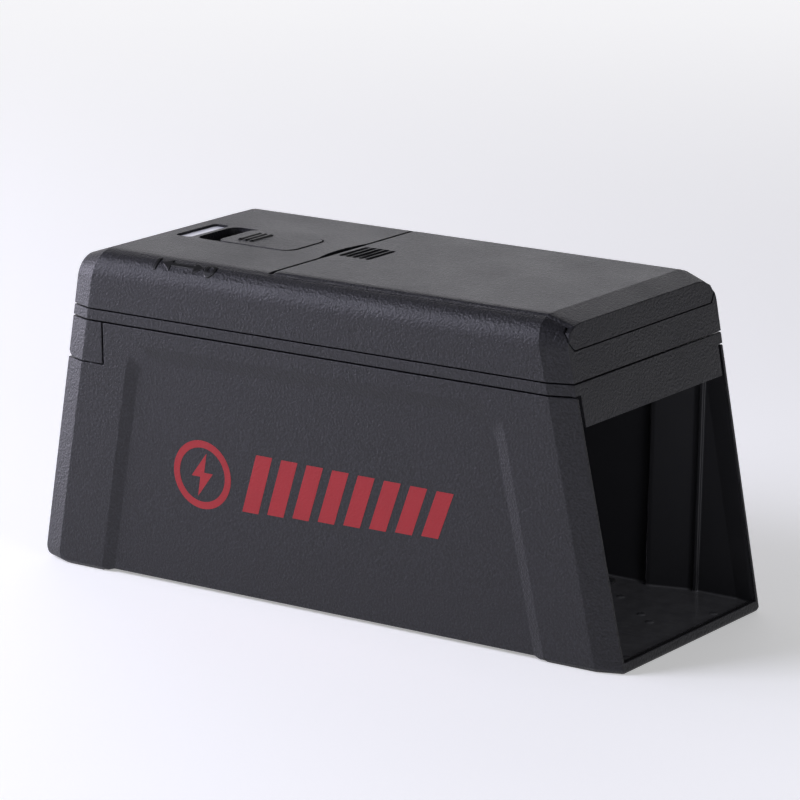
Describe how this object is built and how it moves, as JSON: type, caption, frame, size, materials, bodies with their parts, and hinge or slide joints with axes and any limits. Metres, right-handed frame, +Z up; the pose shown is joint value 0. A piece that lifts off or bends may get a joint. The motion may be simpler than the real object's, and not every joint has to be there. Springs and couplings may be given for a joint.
{
  "type": "electronic rat trap",
  "caption": "Battery-powered tunnel trap for rats: tapered tub with an open mouth, hinged upper unit, sliding battery cover and power switch.",
  "frame": {"origin": "middle of the footprint, on the surface the trap stands on", "axes": "+X along the tunnel towards the mouth, +Z up, +Y to the left when looking out of the mouth"},
  "size_m": [0.264, 0.1104, 0.1276],
  "materials": {
    "shell_plastic": "fine spark-eroded texture, charcoal with a faint blue cast",
    "frame_plastic": "smooth satin black",
    "cup_plastic": "smooth black",
    "kill_plate_steel": "brushed stainless sheet",
    "fastener_steel": "zinc plated",
    "contact_brass": "rolled strip",
    "lens_plastic": "milky translucent",
    "board": "solder mask",
    "component_plastic": "moulded black",
    "green_light": "clear tinted",
    "red_light": "clear tinted",
    "transformer_metal": "varnished",
    "cell_jacket": "printed foil sleeve without markings"
  },
  "bodies": {
    "base": {"body_shell": "shell_plastic", "kill_plate_rear": "kill_plate_steel", "kill_plate_middle": "kill_plate_steel", "kill_plate_front": "kill_plate_steel", "plate_screw_1": "fastener_steel", "plate_screw_2": "fastener_steel", "plate_screw_3": "fastener_steel", "plate_screw_4": "fastener_steel", "plate_screw_5": "fastener_steel", "plate_screw_6": "fastener_steel", "contact_riser_near": "contact_brass", "contact_riser_far": "contact_brass", "bait_cup": "cup_plastic", "hinge_pin_near": "fastener_steel", "hinge_pin_far": "fastener_steel"},
    "upper": {"hinge_leaf": "shell_plastic", "hinge_leaf_screw_near": "fastener_steel", "hinge_leaf_screw_far": "fastener_steel", "middle_frame": "frame_plastic", "upper_housing": "shell_plastic", "housing_screw_1": "fastener_steel", "housing_screw_2": "fastener_steel", "housing_screw_3": "fastener_steel", "housing_screw_4": "fastener_steel", "switch_body": "fastener_steel", "window_lens": "lens_plastic", "circuit_board": "board", "board_screw_1": "fastener_steel", "board_screw_2": "fastener_steel", "kill_light": "green_light", "battery_light": "red_light", "hv_transformer": "transformer_metal", "hv_capacitor": "component_plastic", "controller_chip": "component_plastic", "spring_contact_near": "contact_brass", "spring_contact_far": "contact_brass", "battery_cell_1": "cell_jacket", "battery_cell_2": "cell_jacket", "battery_cell_3": "cell_jacket", "battery_cell_4": "cell_jacket", "battery_spring_near": "fastener_steel", "battery_spring_far": "fastener_steel", "battery_terminal_near": "fastener_steel", "battery_terminal_far": "fastener_steel", "battery_bridge_plate": "fastener_steel"},
    "cover": {"battery_cover": "shell_plastic"},
    "switch": {"switch_slider": "shell_plastic", "switch_lever": "component_plastic"}
  },
  "joints": [
    {"name": "upper_hinge", "type": "hinge", "parent": "base", "child": "upper", "pos_m": [-0.1141, 0, 0.0864], "axis": [0, -1, 0], "range_deg": [0, 95]},
    {"name": "cover_slide", "type": "slide", "parent": "upper", "child": "cover", "axis": [1, 0, 0], "range_m": [0, 0.11]},
    {"name": "power_switch", "type": "slide", "parent": "upper", "child": "switch", "axis": [-1, 0, 0], "range_m": [0, 0.0095]}
  ]
}
